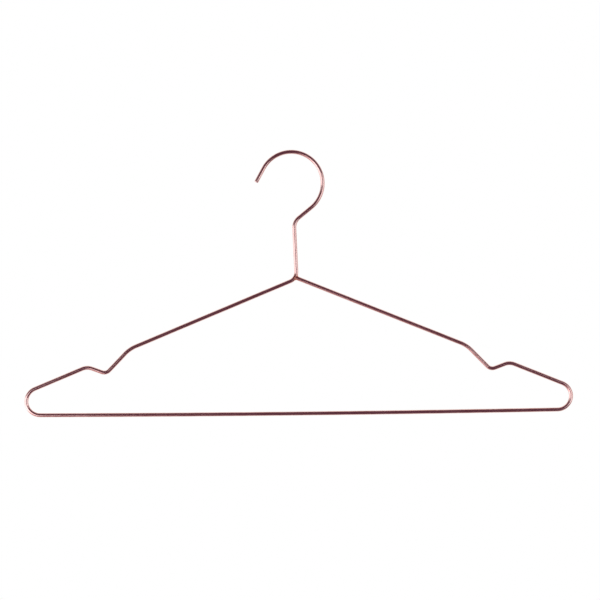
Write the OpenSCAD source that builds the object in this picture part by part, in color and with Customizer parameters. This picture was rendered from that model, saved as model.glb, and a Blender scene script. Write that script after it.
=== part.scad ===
// Clothes and trouser hanger bent from one length of drawn steel wire.
// The wire starts at the tip of the hook, goes round the hook and down the neck, turns into the
// left shoulder, runs round the frame and comes back up the right shoulder. Its end is butt
// welded there to the outside of the neck's bend. Each stretch that has a name of its own is
// one solid, a straight run with the bends that belong to it, and lies face to face with the
// next stretch.
// X runs across the shoulders, Y through the wire and Z up. The origin is the rail's seat,
// at the top of the inside of the hook.

/* [Wire] */
// Diameter of the drawn wire
wire_d = 3.2; // [2.6:0.1:4]
// Chamfer on the cut end at the tip of the hook
tip_chamfer = 0.5; // [0.2:0.1:1]

/* [Frame] */
// Overall width, over the outsides of the end loops
overall_w = 440; // [410:1:460]
// Fall of the shoulders and arms below level, in degrees
slope = 22.2; // [18:0.1:25]
// Centreline radius of the end loops
loop_r = 11; // [8:0.5:13]

/* [Strap notches] */
// From the meeting point of the shoulders down the slope to a notch's inner corner
notch_from = 146; // [130:0.5:155]
// From the inner corner down the slope to the outer corner
notch_span = 37; // [33:0.5:42]
// From the inner corner down the slope to the lowest corner
notch_low = 25; // [22:0.5:27]
// Depth of the lowest corner under the line of the slope
notch_depth = 11; // [8:0.5:13]
// Bend radius at the inner corner
notch_in_r = 26; // [15:1:30]
// Bend radius at the lowest corner
notch_low_r = 5.5; // [4:0.5:7]
// Bend radius at the outer corner
notch_out_r = 10.5; // [6:0.5:12]

/* [Neck] */
// From the meeting point of the shoulders up the neck to the corner under the hook
neck_h = 45.4; // [35:0.2:60]
// Lean of the neck to the left, in degrees
neck_lean = 2; // [0:0.5:4]
// Distance of the foot of the neck to the left of the middle
neck_shift = 0.6; // [0:0.1:1.5]
// Bend radius from the neck into the left shoulder
neck_r = 8; // [6:0.5:12]

/* [Hook] */
// Inside radius of the round of the hook, which takes the rail
hook_inner_r = 23.6; // [20:0.2:28]
// Turn of the wire round the rail, in degrees
hook_turn = 202; // [190:1:215]
// Straight wire from the round to the tip
tip_run = 12.7; // [6:0.1:18]
// From the round to the corner where the wire turns down into the neck
throw_run = 18; // [12:0.5:24]
// Turn of the wire at that corner, in degrees
throw_turn = 53; // [45:1:60]
// Bend radius at that corner
throw_r = 10; // [6:0.5:12]

/* [Weld] */
// Thickness of the bead of weld round the joint
bead = 0.5; // [0.3:0.1:0.8]

/* [Hidden] */
plated = "#b97c72";
scorched = "#a8563f";
wire_r = wire_d / 2;
wire_faces = 48;
bend_faces = 144;

// Points are [x, z], measured from where the lines of the two shoulders meet.
// Directions are in degrees from +X towards +Z.
function toward(angle) = [cos(angle), sin(angle)];
function heading(a, b) = atan2(b.y - a.y, b.x - a.x);
function down_slope(along, under) = along * toward(-slope) + under * toward(-slope - 90);

// A path is a list of the wire's corners, each [x, z, bend radius]. A bend uses up the same
// length of the run on each side of its corner.
function corner(path, i) = [path[i].x, path[i].y];
function leaves(path, i) = heading(corner(path, i), corner(path, i + 1));
function turn(path, i) = (leaves(path, i) - leaves(path, i - 1) + 540) % 360 - 180;
function used(path, i) = path[i].z == 0 ? 0 : path[i].z * tan(abs(turn(path, i)) / 2);
function run_start(path, i) = corner(path, i) + used(path, i) * toward(leaves(path, i));
function bend_start(path, i) = corner(path, i) - used(path, i) * toward(leaves(path, i - 1));
function run_length(path, i) =
    norm(corner(path, i + 1) - corner(path, i)) - used(path, i) - used(path, i + 1);

notch_in = down_slope(notch_from, 0);
notch_bottom = down_slope(notch_from + notch_low, notch_depth);
notch_out = down_slope(notch_from + notch_span, 0);
loop_x = overall_w / 2 - wire_r - loop_r;
bar_z = -loop_x * tan(slope) - loop_r / cos(slope) - loop_r;

// Neck, from the end of the round of the hook down into the left shoulder
neck_dir = 90 + neck_lean;
throw_dir = neck_dir - throw_turn;
neck_top = [-neck_shift, 0] + neck_h * toward(neck_dir);
throw_start = neck_top + throw_run * toward(throw_dir);
foot_x = -neck_shift / (1 - tan(neck_lean) * tan(slope));
neck_path = [
    [throw_start.x, throw_start.y, 0],
    [neck_top.x, neck_top.y, throw_r],
    [foot_x, foot_x * tan(slope), neck_r],
    [-notch_in.x, notch_in.y, notch_in_r],
    [-notch_bottom.x, notch_bottom.y, notch_low_r],
];

// The right shoulder's line meets the middle of the neck's bend this far down the slope.
// The wire's end is coped over the bend and stops short of the bend's widest line.
bend_centre = bend_start(neck_path, 2) + neck_r * toward(leaves(neck_path, 1) - 90);
centre_along = bend_centre * toward(-slope);
meets_bend = centre_along + sqrt(centre_along ^ 2 - bend_centre * bend_centre + neck_r ^ 2);
wire_end = down_slope(meets_bend + wire_r / 4, 0);

// Right side of the frame, from the weld to the bar
side_path = [
    [wire_end.x, wire_end.y, 0],
    [notch_in.x, notch_in.y, notch_in_r],
    [notch_bottom.x, notch_bottom.y, notch_low_r],
    [notch_out.x, notch_out.y, notch_out_r],
    [-bar_z / tan(slope), bar_z, loop_r],
    [0, bar_z, 0],
];

hook_r = hook_inner_r + wire_r;
hook_centre = throw_start + hook_r * toward(throw_dir + 90);
tip_dir = throw_dir + hook_turn;
tip_start = hook_centre + hook_r * toward(tip_dir - 90);
rail_seat = hook_centre + [0, hook_inner_r];

// Straight wire along X from the origin
module straight(length, d = wire_d) {
    rotate([0, 90, 0])
        cylinder(h = length, d = d, $fn = wire_faces);
}

// Wire that sets off along X and is bent to the left, or to the right when turn is negative
module arc(turn, r, d = wire_d) {
    rotate([turn < 0 ? 180 : 0, 0, 0])
        translate([0, r, 0])
            rotate_extrude(angle = abs(turn), start = -90, $fn = bend_faces)
                translate([r, 0])
                    circle(d = d, $fn = wire_faces);
}

// Puts what follows at a point of the wire, pointing along it
module at(point, direction) {
    translate([point.x, point.y, 0])
        rotate(direction)
            children();
}

// The run that leaves corner i, with its share of the bend before it and of the bend after it.
// Each bend is drawn from the run's own end, so that the two meet in exactly one face.
module run(path, i, before = 0, after = 0, d = wire_d) {
    length = run_length(path, i);
    at(run_start(path, i), leaves(path, i)) {
        straight(length, d);
        if (before > 0)
            rotate([0, 180, 0])
                arc(before * turn(path, i), path[i].z, d);
        if (after > 0)
            translate([length, 0, 0])
                arc(after * turn(path, i + 1), path[i + 1].z, d);
    }
}

// The whole bend at corner i by itself
module bend(path, i, d = wire_d) {
    at(bend_start(path, i), leaves(path, i - 1))
        arc(turn(path, i), path[i].z, d);
}

// Stands the flat wire up and puts the rail's seat at the origin
module upright(tint = plated) {
    color(tint)
        translate([-rail_seat.x, 0, -rail_seat.y])
            rotate([90, 0, 0])
                children();
}

// The left side of the frame is the right side seen in a mirror
module left() {
    mirror([1, 0, 0])
        children();
}

// Straight end of the hook, cut off square and chamfered
module hook_tip() {
    length = tip_run - tip_chamfer;
    upright()
        at(tip_start, tip_dir) {
            straight(length);
            translate([length, 0, 0])
                rotate([0, 90, 0])
                    cylinder(h = tip_chamfer, d1 = wire_d, d2 = wire_d - 2 * tip_chamfer,
                             $fn = wire_faces);
        }
}

// Round of the hook, and the run and bend that bring it back over the neck
module hook() {
    upright() {
        run(neck_path, 0, after = 1);
        at(throw_start, leaves(neck_path, 0))
            rotate([0, 180, 0])
                arc(-hook_turn, hook_r);
    }
}

// Neck, with the bend that carries it into the left shoulder
module neck() {
    upright() run(neck_path, 1, after = 1);
}

module left_shoulder() {
    upright() run(neck_path, 2);
}

// Steep inner side of a strap notch, down to its lowest point
module notch_ramp() {
    run(side_path, 1, before = 1, after = 0.5);
}

module left_notch_ramp() {
    upright() left() notch_ramp();
}

module right_notch_ramp() {
    upright() notch_ramp();
}

// Outer side of a strap notch, which rises back to the slope and keeps a strap in
module notch_lip() {
    run(side_path, 2, before = 0.5, after = 1);
}

module left_notch_lip() {
    upright() left() notch_lip();
}

module right_notch_lip() {
    upright() notch_lip();
}

// Run from a strap notch down to the end loop
module left_arm() {
    upright() left() run(side_path, 3);
}

module right_arm() {
    upright() run(side_path, 3);
}

// Tight turn at the end of the frame, from the arm into the bar
module left_end_loop() {
    upright() left() bend(side_path, 4);
}

module right_end_loop() {
    upright() bend(side_path, 4);
}

// Bar that carries folded trousers
module trouser_bar() {
    upright()
        at([-loop_x, bar_z], 0)
            straight(2 * loop_x);
}

// Right shoulder, with its end coped to sit on the outside of the neck's bend
module right_shoulder() {
    upright()
        difference() {
            run(side_path, 0);
            bend(neck_path, 2);
        }
}

// Bead of weld along the edge of that joint, lying on both pieces of wire
module neck_weld() {
    over_bead = wire_d + 2 * bead;
    upright(scorched)
        difference() {
            intersection() {
                bend(neck_path, 2, over_bead);
                run(side_path, 0, d = over_bead);
            }
            bend(neck_path, 2);
            run(side_path, 0);
        }
}

hook_tip();
hook();
neck();
left_shoulder();
left_notch_ramp();
left_notch_lip();
left_arm();
left_end_loop();
trouser_bar();
right_end_loop();
right_arm();
right_notch_lip();
right_notch_ramp();
right_shoulder();
neck_weld();
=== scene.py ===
import math

import bmesh
import bpy
from mathutils import Matrix, Vector, noise


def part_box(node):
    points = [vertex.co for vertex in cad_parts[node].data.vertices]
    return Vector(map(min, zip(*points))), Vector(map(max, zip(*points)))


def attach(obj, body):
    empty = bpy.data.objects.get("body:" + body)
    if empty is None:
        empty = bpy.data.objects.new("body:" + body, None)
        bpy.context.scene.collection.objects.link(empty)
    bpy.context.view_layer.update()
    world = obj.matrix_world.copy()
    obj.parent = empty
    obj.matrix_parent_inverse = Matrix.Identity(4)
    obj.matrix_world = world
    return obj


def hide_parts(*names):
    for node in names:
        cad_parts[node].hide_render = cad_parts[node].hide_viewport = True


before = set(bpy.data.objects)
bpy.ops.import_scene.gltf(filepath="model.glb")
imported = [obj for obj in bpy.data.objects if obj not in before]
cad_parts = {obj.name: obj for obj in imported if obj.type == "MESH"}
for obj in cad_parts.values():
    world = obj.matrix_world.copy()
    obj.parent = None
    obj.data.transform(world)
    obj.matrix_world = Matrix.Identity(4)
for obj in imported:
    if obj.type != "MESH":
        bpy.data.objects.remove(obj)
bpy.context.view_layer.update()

# Hook tip
# The hanger is one length of bright drawn steel wire, bent on a wire bender and then copper plated
# in a rose gold shade. The wire starts here, cropped square, with its edge rounded over so that it
# doesn't catch on cloth. Each stretch is drawn as the bender feeds it, in mm and degrees.
MM = 0.001  # a millimetre in metres, for when a stretch is bent and goes into the scene
wire_r = 1.6
tip_run = 12.7
tip_round = 0.5
tip_heading = 61
hook_inner_r = 23.6
hook_r = hook_inner_r + wire_r

ring_sides = 40
feed_step = 4.0  # about one step of a straight
round_steps = 5


def toward(angle):
    """Direction in the plane of the wire, from +X towards +Z."""
    return Vector((math.cos(math.radians(angle)), 0, math.sin(math.radians(angle))))


# The origin is the rail's seat, at the top of the inside of the hook.
hook_centre = Vector((0, 0, -hook_inner_r))
tip_start = hook_centre + hook_r * toward(tip_heading + 90) - tip_run * toward(tip_heading)

# Where the wire has got to, which way it heads and how much of it is used
wire = {"place": tip_start, "heading": tip_heading, "used": 0.0}


def new_stretch(radius=wire_r):
    """A bmesh with one ring of wire, square to where the wire is heading, and the ring's edges. Each
    vertex keeps its share of the way round the wire and its length along it, for the map."""
    bm = bmesh.new()
    around = bm.verts.layers.float.new("around")
    along = bm.verts.layers.float.new("along")
    axis = toward(wire["heading"])
    across = toward(wire["heading"] + 90)
    square_on = Matrix((across, axis.cross(across), axis)).transposed().to_4x4()
    bmesh.ops.create_circle(bm, segments=ring_sides, radius=radius,
                            matrix=Matrix.Translation(wire["place"]) @ square_on)
    for number, v in enumerate(bm.verts):
        v[around] = number / ring_sides
        v[along] = wire["used"]
    return bm, list(bm.edges)


def next_ring(bm, ring, length):
    """Draws a new ring out of the last one, and returns its edges and vertices."""
    drawn = bmesh.ops.extrude_edge_only(bm, edges=ring)["geom"]
    verts = [v for v in drawn if isinstance(v, bmesh.types.BMVert)]
    along = bm.verts.layers.float["along"]
    wire["used"] += length
    for v in verts:
        v[along] = wire["used"]
    return [e for e in drawn if isinstance(e, bmesh.types.BMEdge)
            and all(v in verts for v in e.verts)], verts


def feed(bm, ring, length):
    """Straight wire, as one move of the last ring for each step."""
    steps = max(1, round(length / feed_step))
    move = toward(wire["heading"]) * length / steps
    for _ in range(steps):
        ring, verts = next_ring(bm, ring, length / steps)
        bmesh.ops.translate(bm, verts=verts, vec=move)
        wire["place"] = wire["place"] + move
    return ring


def round_over(bm, ring):
    """Rounded edge of the cropped end, from the flat of the cut out to the full wire."""
    for step in range(round_steps):
        before = math.radians(90 * step / round_steps)
        after = math.radians(90 * (step + 1) / round_steps)
        length = tip_round * (math.cos(before) - math.cos(after))
        narrow = wire_r - tip_round * (1 - math.sin(before))
        wide = wire_r - tip_round * (1 - math.sin(after))
        ring = feed(bm, ring, length)
        verts = list({v for edge in ring for v in edge.verts})
        bmesh.ops.scale(bm, verts=verts, vec=[wide / narrow] * 3,
                        space=Matrix.Translation(-wire["place"]))
    return ring


def close_end(bm, ring):
    """Flat end face on a ring."""
    bmesh.ops.contextual_create(bm, geom=ring)


def finished(bm, name):
    """Gives the wire its map, round the wire by length along it in mm, and makes the object."""
    bmesh.ops.recalc_face_normals(bm, faces=bm.faces)
    around = bm.verts.layers.float["around"]
    along = bm.verts.layers.float["along"]
    drawn = bm.loops.layers.uv.new("drawn")
    girth = 2 * math.pi * wire_r
    for face in bm.faces:
        # Only the flat ends have more than four corners, and they stay flat.
        face.smooth = len(face.verts) == 4
        furthest = max(loop.vert[around] for loop in face.loops)
        for loop in face.loops:
            share = loop.vert[around]
            # The last face round ends where the first one starts, so its share is 1 there and not 0.
            if furthest - share > 0.5:
                share += 1
            loop[drawn].uv = (share * girth, loop.vert[along])
    for edge in bm.edges:
        edge.smooth = all(len(face.verts) == 4 for face in edge.link_faces)
    bmesh.ops.scale(bm, verts=bm.verts, vec=(MM, MM, MM))
    mesh = bpy.data.meshes.new(name)
    bm.to_mesh(mesh)
    bm.free()
    piece = bpy.data.objects.new(name, mesh)
    bpy.context.scene.collection.objects.link(piece)
    return piece


def linear(colour):
    """An sRGB hex colour as Blender's linear RGBA."""
    parts = [int(colour[i:i + 2], 16) / 255 for i in (1, 3, 5)]
    return [c / 12.92 if c <= 0.04045 else ((c + 0.055) / 1.055) ** 2.4 for c in parts] + [1]


def add_node(material, kind, settings=None, links=None):
    """A node with its settings, and with its inputs fed from (node, output) pairs."""
    node = material.node_tree.nodes.new(kind)
    for name, value in (settings or {}).items():
        if isinstance(name, int) or name in node.inputs:
            node.inputs[name].default_value = value
        else:
            setattr(node, name, value)
    for name, (source, output) in (links or {}).items():
        material.node_tree.links.new(source.outputs[output], node.inputs[name])
    return node


def new_material(name):
    """A material with no nodes in it yet."""
    material = bpy.data.materials.new(name)
    material.use_nodes = True
    material.node_tree.nodes.clear()
    return material


# Real sizes of the plate's marks, in mm, but for the gap between the die lines. That is 0.1 mm, and
# it is drawn four times as wide to show at all.
line_gap = 0.4
line_length = 30
line_depth = 0.003
cloud_width = 5
cloud_length = 15
blush_r = 5
blush_full_r = 2

weld_low, weld_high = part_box("neck_weld")
weld_middle = (weld_low + weld_high) / 2


def rose_gold_plate():
    """Copper plate in a rose gold shade on drawn steel wire, lacquered. It gives the eye a bright
    pink metal whose highlights run long, because the die leaves fine lines along the wire, with
    paler and redder clouds from the bath and a redder blush where the weld's heat went."""
    material = new_material("rose_gold_plate_on_drawn_wire")
    drawn = add_node(material, "ShaderNodeUVMap", {"uv_map": "drawn"})
    line_place = add_node(material, "ShaderNodeMapping", {"Scale": (1 / line_gap, 1 / line_length, 1)},
                          {"Vector": (drawn, "UV")})
    die_lines = add_node(material, "ShaderNodeTexNoise",
                         {"noise_dimensions": "2D", "Scale": 1.0, "Detail": 2.0, "Roughness": 0.5},
                         {"Vector": (line_place, "Vector")})
    cloud_place = add_node(material, "ShaderNodeMapping",
                           {"Scale": (1 / cloud_width, 1 / cloud_length, 1)}, {"Vector": (drawn, "UV")})
    clouds = add_node(material, "ShaderNodeTexNoise",
                      {"noise_dimensions": "2D", "Scale": 1.0, "Detail": 4.0, "Roughness": 0.55},
                      {"Vector": (cloud_place, "Vector")})
    cloud_share = add_node(material, "ShaderNodeMapRange", {"From Min": 0.35, "From Max": 0.65},
                           {"Value": (clouds, "Fac")})
    plated = add_node(material, "ShaderNodeMix",
                      {"data_type": "RGBA", 6: linear("#dcaba2"), 7: linear("#e9beb5")},
                      {0: (cloud_share, "Result")})
    # The blush is full close to the weld and fades out further along the wire.
    spot = add_node(material, "ShaderNodeTexCoord")
    from_weld = add_node(material, "ShaderNodeVectorMath",
                         {"operation": "DISTANCE", 1: weld_middle}, {0: (spot, "Object")})
    blush_share = add_node(material, "ShaderNodeMapRange",
                           {"interpolation_type": "SMOOTHSTEP", "From Min": blush_r * MM,
                            "From Max": blush_full_r * MM, "To Max": 0.5},
                           {"Value": (from_weld, "Value")})
    plated = add_node(material, "ShaderNodeMix", {"data_type": "RGBA", 7: linear("#cf8068")},
                      {0: (blush_share, "Result"), 6: (plated, 2)})
    roughness = add_node(material, "ShaderNodeMapRange", {"To Min": 0.17, "To Max": 0.29},
                         {"Value": (die_lines, "Fac")})
    relief = add_node(material, "ShaderNodeBump", {"Strength": 1.0, "Distance": line_depth * MM},
                      {"Height": (die_lines, "Fac")})
    round_wire = add_node(material, "ShaderNodeTangent", {"direction_type": "UV_MAP", "uv_map": "drawn"})
    surface = add_node(material, "ShaderNodeBsdfPrincipled", {"Metallic": 1.0, "Anisotropic": 0.6},
                       {"Base Color": (plated, 2), "Roughness": (roughness, "Result"),
                        "Normal": (relief, "Normal"), "Tangent": (round_wire, "Tangent")})
    add_node(material, "ShaderNodeOutputMaterial", links={"Surface": (surface, "BSDF")})
    return material


plate = rose_gold_plate()


def wire_piece(bm, ring, name, node):
    """Closes a stretch of wire, plates it and puts it in the frame in place of its CAD node."""
    close_end(bm, ring)
    piece = finished(bm, name)
    piece.data.materials.append(plate)
    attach(piece, "root")
    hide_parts(node)


bm, ring = new_stretch(wire_r - tip_round)
close_end(bm, ring)
ring = round_over(bm, ring)
ring = feed(bm, ring, tip_run - tip_round)
wire_piece(bm, ring, "hook_tip_wire", "hook_tip")


# Hook
# Round of the hook, bent round a 47 mm former to go over a wardrobe rail, and the short run and
# bend that bring the wire back over the middle of the frame.
hook_turn = 202
throw_run = 18.0
throw_turn = 53
throw_r = 10.0
bend_step = 0.5  # about one step of a bend


def bend(bm, ring, turn, radius):
    """Wire bent to the left, or to the right when turn is negative, in degrees."""
    length = radius * math.radians(abs(turn))
    steps = max(2, round(length / bend_step))
    side = math.copysign(90, turn)
    centre = wire["place"] + radius * toward(wire["heading"] + side)
    for _ in range(steps):
        ring, verts = next_ring(bm, ring, length / steps)
        bmesh.ops.rotate(bm, verts=verts, cent=centre,
                         matrix=Matrix.Rotation(-math.radians(turn / steps), 3, "Y"))
        wire["heading"] += turn / steps
        wire["place"] = centre - radius * toward(wire["heading"] + side)
    return ring


def used_by(turn, radius):
    """Length that a bend takes from the run on each side of its corner."""
    return radius * math.tan(math.radians(abs(turn)) / 2)


def draw_stretch(name, node, *steps):
    """A stretch of wire in steps such as (feed, length) or (bend, turn, radius)."""
    bm, ring = new_stretch()
    close_end(bm, ring)
    for work, *sizes in steps:
        ring = work(bm, ring, *sizes)
    wire_piece(bm, ring, name, node)


draw_stretch("hook_wire", "hook",
             (bend, -hook_turn, hook_r),
             (feed, throw_run - used_by(throw_turn, throw_r)),
             (bend, throw_turn, throw_r))


# Neck
# Straight wire down to the frame, and the bend that carries it into the left shoulder. The far end
# of the wire comes back to this bend and is welded to the outside of it.
neck_run = 45.65  # from the corner under the hook to the corner at the foot of the neck
neck_r = 8.0
slope = 22.2
neck_turn = slope - 180 - wire["heading"]
neck_straight = neck_run - used_by(throw_turn, throw_r) - used_by(neck_turn, neck_r)
neck_bend_centre = (wire["place"] + neck_straight * toward(wire["heading"])
                    + neck_r * toward(wire["heading"] - 90))

draw_stretch("neck_wire", "neck", (feed, neck_straight), (bend, neck_turn, neck_r))


# Left shoulder
# Straight run of the wire down the slope from the neck's bend to the strap notch. It carries the
# shoulder of a shirt or jacket.
def straight_length(node, angle):
    """Length of a straight CAD node that lies at an angle to level, from its box."""
    low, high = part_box(node)
    size = (high - low) / MM
    across = 2 * wire_r
    return math.hypot(size.x - across * abs(math.sin(math.radians(angle))),
                      size.z - across * abs(math.cos(math.radians(angle))))


draw_stretch("left_shoulder_wire", "left_shoulder", (feed, straight_length("left_shoulder", slope)))


# Left strap notch
# Dip in the slope that keeps a dress strap or a loop of ribbon from sliding off: a steep ramp down
# and a short lip that rises back to the line of the slope. Both are bent in the same wire.
notch_low = 25.0
notch_span = 37.0
notch_depth = 11.0
notch_in_r = 26.0
notch_low_r = 5.5
notch_out_r = 10.5
ramp_turn = math.degrees(math.atan2(notch_depth, notch_low))
lip_turn = math.degrees(math.atan2(notch_depth, notch_span - notch_low))
low_turn = (ramp_turn + lip_turn) / 2
low_used = used_by(2 * low_turn, notch_low_r)
ramp_straight = math.hypot(notch_depth, notch_low) - used_by(ramp_turn, notch_in_r) - low_used
lip_straight = math.hypot(notch_depth, notch_span - notch_low) - low_used - used_by(lip_turn, notch_out_r)

draw_stretch("left_notch_ramp_wire", "left_notch_ramp",
             (bend, ramp_turn, notch_in_r), (feed, ramp_straight), (bend, -low_turn, notch_low_r))
draw_stretch("left_notch_lip_wire", "left_notch_lip",
             (bend, -low_turn, notch_low_r), (feed, lip_straight), (bend, lip_turn, notch_out_r))


# Left arm and end loop
# Straight run of the wire from the strap notch to the end of the frame, and the tight turn there
# into the bar, bent round a 19 mm pin.
loop_r = 11.0
bar_bow = 1.0  # turn of the wire, in degrees, over the length of the bar
loop_turn = 180 - slope - bar_bow / 2

draw_stretch("left_arm_wire", "left_arm", (feed, straight_length("left_arm", slope)))
draw_stretch("left_end_loop_wire", "left_end_loop", (bend, loop_turn, loop_r))


# Trouser bar
# Long straight run of the wire that trousers are folded over. The spring that is left in the end
# loops bows it down by almost 1 mm.
bar_length = straight_length("trouser_bar", 0) + loop_r * math.radians(bar_bow)


def bowed(bm, ring, length, turn):
    """Long run that is bowed by a slight turn to the left over its length."""
    steps = round(length / feed_step)
    for _ in range(steps):
        wire["heading"] += turn / steps / 2
        ring = feed(bm, ring, length / steps)
        wire["heading"] += turn / steps / 2
    return ring


draw_stretch("trouser_bar_wire", "trouser_bar", (bowed, bar_length, bar_bow))


# Right end loop and arm
# The wire turns up out of the bar round the same pin as on the left, and runs back towards the
# middle.
draw_stretch("right_end_loop_wire", "right_end_loop", (bend, loop_turn, loop_r))
draw_stretch("right_arm_wire", "right_arm", (feed, straight_length("right_arm", slope)))


# Right strap notch
# Lip and ramp bent to the same sizes as on the left, and met from the other side, so that straps
# hang level.
draw_stretch("right_notch_lip_wire", "right_notch_lip",
             (bend, lip_turn, notch_out_r), (feed, lip_straight), (bend, -low_turn, notch_low_r))
draw_stretch("right_notch_ramp_wire", "right_notch_ramp",
             (bend, -low_turn, notch_low_r), (feed, ramp_straight), (bend, ramp_turn, notch_in_r))


# Right shoulder
# Last run of the wire, up to the middle of the frame. Its end is coped, cut to a saddle, to sit on
# the outside of the neck's bend, and is welded there.
cope_run = 2.5
closest_steps = 60


def run_to_neck(point):
    """Length from a point, straight on along the wire, to the surface of the neck's bend. Each step
    goes on by the distance that is left to that surface, so it closes in and never passes it."""
    run = 0
    for _ in range(closest_steps):
        out = point + run * toward(wire["heading"]) - neck_bend_centre
        run += math.hypot(math.hypot(out.x, out.z) - neck_r, out.y) - wire_r
    return run


def cope(bm, ring):
    """End of the wire, run on until each point of it lies on the neck's bend."""
    ring, verts = next_ring(bm, ring, cope_run)
    for v in verts:
        v.co += run_to_neck(v.co) * toward(wire["heading"])
    return ring


draw_stretch("right_shoulder_wire", "right_shoulder",
             (feed, run_to_neck(wire["place"]) - cope_run), (cope,))


# Neck weld
# The wire's end is butt welded to the neck's bend, which leaves a small rippled bead of mild steel
# round the joint. It is copper plated with the rest.
bead_r = 0.6
bead_sides = 12
ripple = 0.12  # as a share of the bead's radius, like the lumps
ripples = 9
lump = 0.3
lumps_per_mm = 0.9
settle_passes = 3
pit_size = 0.4
pit_depth = 0.03


def weld_bead():
    """Ring of bead along the joint, round in section, with ripples and lumps."""
    bm, first = new_stretch()
    around = bm.verts.layers.float["around"]
    heading = toward(wire["heading"])
    joint = {}
    for v in bm.verts:
        out = (v.co - wire["place"]).normalized()
        joint[v[around]] = (v.co + run_to_neck(v.co) * heading, out)
    ring, verts = first, list(bm.verts)
    for side in range(bead_sides):
        if side > 0:
            ring, verts = next_ring(bm, ring, 2 * math.pi * bead_r / bead_sides)
        angle = 2 * math.pi * side / bead_sides
        for v in verts:
            place, out = joint[v[around]]
            rippled = ripple * math.sin(2 * math.pi * ripples * v[around])
            swell = 1 + rippled + lump * noise.noise(place * lumps_per_mm)
            v.co = place + bead_r * swell * (math.cos(angle) * out - math.sin(angle) * heading)
    bmesh.ops.bridge_loops(bm, edges=first + ring)
    for _ in range(settle_passes):
        bmesh.ops.smooth_vert(bm, verts=bm.verts, factor=0.5, use_axis_x=True, use_axis_y=True,
                              use_axis_z=True)
    return finished(bm, "neck_weld_bead")


def plated_weld():
    """Bead of mild steel weld under the same copper plate. It gives the eye a rough, redder spot,
    because the bead is pitted and scaled and the plate takes less shine on it."""
    material = new_material("copper_plate_on_weld_bead")
    spot = add_node(material, "ShaderNodeTexCoord")
    pits = add_node(material, "ShaderNodeTexNoise",
                    {"Scale": 1 / (pit_size * MM), "Detail": 3.0, "Roughness": 0.6},
                    {"Vector": (spot, "Object")})
    scale_share = add_node(material, "ShaderNodeMapRange", {"From Min": 0.4, "From Max": 0.62},
                           {"Value": (pits, "Fac")})
    scaled = add_node(material, "ShaderNodeMix",
                      {"data_type": "RGBA", 6: linear("#b4634c"), 7: linear("#dd9c86")},
                      {0: (scale_share, "Result")})
    relief = add_node(material, "ShaderNodeBump", {"Strength": 1.0, "Distance": pit_depth * MM},
                      {"Height": (pits, "Fac")})
    surface = add_node(material, "ShaderNodeBsdfPrincipled", {"Metallic": 1.0, "Roughness": 0.42},
                       {"Base Color": (scaled, 2), "Normal": (relief, "Normal")})
    add_node(material, "ShaderNodeOutputMaterial", links={"Surface": (surface, "BSDF")})
    return material


bead = weld_bead()
bead.data.materials.append(plated_weld())
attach(bead, "root")
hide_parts("neck_weld")


# Floor
# Round board painted matt white, which lies on the studio's floor, far below the hanging hanger.
# It shows in the views from above, and fades out at its rim.
floor_z = -1.3
floor_r = 1.6
fade_from = 0.6
fade_to = 1.5
own_white = 0.75  # share of the board that shows as plain white, and not as lit paint


def white_board():
    """Matt white emulsion on board. It gives the eye an even white, which takes a faint shadow."""
    material = new_material("matt_white_board")
    spot = add_node(material, "ShaderNodeTexCoord")
    from_middle = add_node(material, "ShaderNodeVectorMath",
                           {"operation": "DISTANCE", 1: (0, 0, floor_z)}, {0: (spot, "Object")})
    fade = add_node(material, "ShaderNodeMapRange",
                    {"interpolation_type": "SMOOTHSTEP", "From Min": fade_from, "From Max": fade_to},
                    {"Value": (from_middle, "Value")})
    paint = add_node(material, "ShaderNodeBsdfDiffuse", {"Color": linear("#f4f2f0")})
    white = add_node(material, "ShaderNodeEmission")
    rays = add_node(material, "ShaderNodeLightPath")
    seen_white = add_node(material, "ShaderNodeMath", {"operation": "MULTIPLY", 1: own_white},
                          {0: (rays, "Is Camera Ray")})
    board = add_node(material, "ShaderNodeMixShader",
                     links={0: (seen_white, "Value"), 1: (paint, "BSDF"), 2: (white, "Emission")})
    gone = add_node(material, "ShaderNodeBsdfTransparent")
    faded = add_node(material, "ShaderNodeMixShader",
                     links={0: (fade, "Result"), 1: (board, "Shader"), 2: (gone, "BSDF")})
    add_node(material, "ShaderNodeOutputMaterial", links={"Surface": (faded, "Shader")})
    return material


bm = bmesh.new()
bmesh.ops.create_circle(bm, cap_ends=True, segments=96, radius=floor_r,
                        matrix=Matrix.Translation((0, 0, floor_z)))
mesh = bpy.data.meshes.new("floor")
bm.to_mesh(mesh)
bm.free()
floor = bpy.data.objects.new("floor", mesh)
floor.data.materials.append(white_board())
floor.visible_glossy = False
bpy.context.scene.collection.objects.link(floor)


# Camera
# Square on to the frame, at the photograph's viewing angle and scale, and rolled by its tilt. It is
# aimed by the apex, where the lines of the two shoulders meet.
frame_px = 600
px_per_mm = 1.2469
apex_px = (297.37, 278.32)
roll = 0.635
lens = 150
sensor = 36
# The apex is worked out from the bar. Over each end of the bar the arm's line is a loop's radius,
# measured square to it, past the loop's centre, and from there it rises to the middle.
bar_low, bar_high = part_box("trouser_bar")
bar_middle = (bar_low + bar_high) / 2 / MM
bar_to_arm_line = loop_r + loop_r / math.cos(math.radians(slope))
half_bar = straight_length("trouser_bar", 0) / 2
rise = half_bar * math.tan(math.radians(slope)) + bar_to_arm_line
apex = bar_middle + Vector((0, 0, rise))

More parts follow.
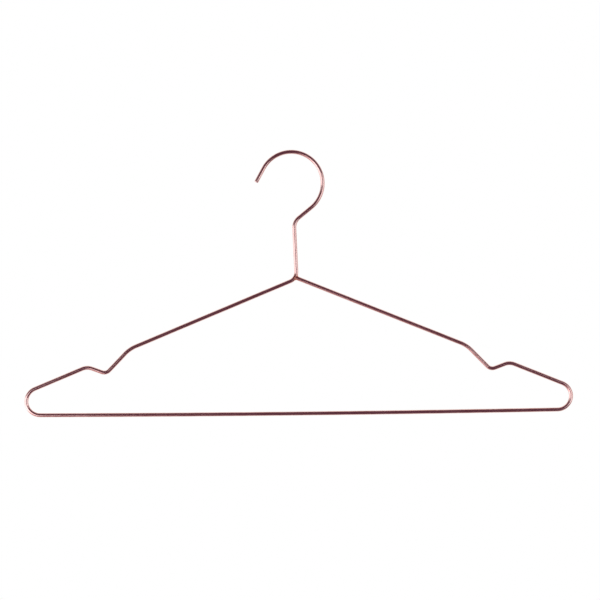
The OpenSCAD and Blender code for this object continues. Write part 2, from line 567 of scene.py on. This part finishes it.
camera_data = bpy.data.cameras.new("camera")
camera_data.lens = lens
camera_data.sensor_width = sensor
camera_data.clip_end = 100
camera = bpy.data.objects.new("camera", camera_data)
bpy.context.scene.collection.objects.link(camera)
bpy.context.scene.camera = camera
distance = frame_px * lens / sensor / px_per_mm
rolled = Matrix.Rotation(math.radians(roll), 3, "Y")
apex_to_middle = Vector((frame_px / 2 - apex_px[0], 0, apex_px[1] - frame_px / 2)) / px_per_mm
aim = apex + rolled @ apex_to_middle
camera.location = (aim + Vector((0, -distance, 0))) * MM
camera.rotation_euler = (rolled @ Matrix.Rotation(math.radians(90), 3, "X")).to_euler()


# Studio
# The hanger hangs before a white backdrop in a dark room, with a large soft box to its left, a
# smaller one to its right and a weak pink reflector low on the left. The metal shows the backdrop
# at its edges and the room between them.
room_colour = linear("#603f53")
white = (1, 1, 1, 1)
backdrop_rim = -0.05  # the backdrop fades in between these two directions, as the Y of each
backdrop_full = 0.15
lit_middle = Vector((0, 0, -0.11))

world = bpy.data.worlds.new("studio")
bpy.context.scene.world = world
world.use_nodes = True
world.node_tree.nodes.clear()
coords = add_node(world, "ShaderNodeTexCoord")
direction = add_node(world, "ShaderNodeSeparateXYZ", links={"Vector": (coords, "Generated")})
behind = add_node(world, "ShaderNodeMapRange",
                  {"interpolation_type": "SMOOTHSTEP", "From Min": backdrop_rim,
                   "From Max": backdrop_full},
                  {"Value": (direction, "Y")})
room = add_node(world, "ShaderNodeMix", {"data_type": "RGBA", 6: room_colour, 7: white},
                {0: (behind, "Result")})
rays = add_node(world, "ShaderNodeLightPath")
shown_white = add_node(world, "ShaderNodeMath", {"operation": "MAXIMUM"},
                       {0: (rays, "Is Camera Ray"), 1: (rays, "Is Transmission Ray")})
backdrop = add_node(world, "ShaderNodeMix", {"data_type": "RGBA", 7: white},
                    {0: (shown_white, "Value"), 6: (room, 2)})
light = add_node(world, "ShaderNodeBackground", links={"Color": (backdrop, 2)})
add_node(world, "ShaderNodeOutputWorld", links={"Surface": (light, "Background")})


def soft_box(name, place, size, power, colour):
    """Soft box or lit reflector, turned to the middle of the hanger. Sizes are in metres and watts."""
    lamp = bpy.data.lights.new(name, "AREA")
    lamp.shape = "RECTANGLE"
    lamp.size, lamp.size_y = size
    lamp.energy = power
    lamp.color = linear(colour)[:3]
    box = bpy.data.objects.new(name, lamp)
    bpy.context.scene.collection.objects.link(box)
    box.location = place
    box.rotation_euler = (lit_middle - box.location).to_track_quat("-Z", "Y").to_euler()
    box.visible_camera = False


soft_box("left_soft_box", place=(-1.11, -0.64, -0.42), size=(2.6, 1.2), power=18.0, colour="#e4f7ff")
soft_box("right_soft_box", place=(0.97, -0.87, -0.18), size=(1.3, 0.95), power=6.6, colour="#e4f7ff")
soft_box("low_left_reflector", place=(-0.62, -0.5, -0.8), size=(1.0, 0.9), power=1.5, colour="#ffd4da")

bpy.context.scene.view_settings.view_transform = "Standard"
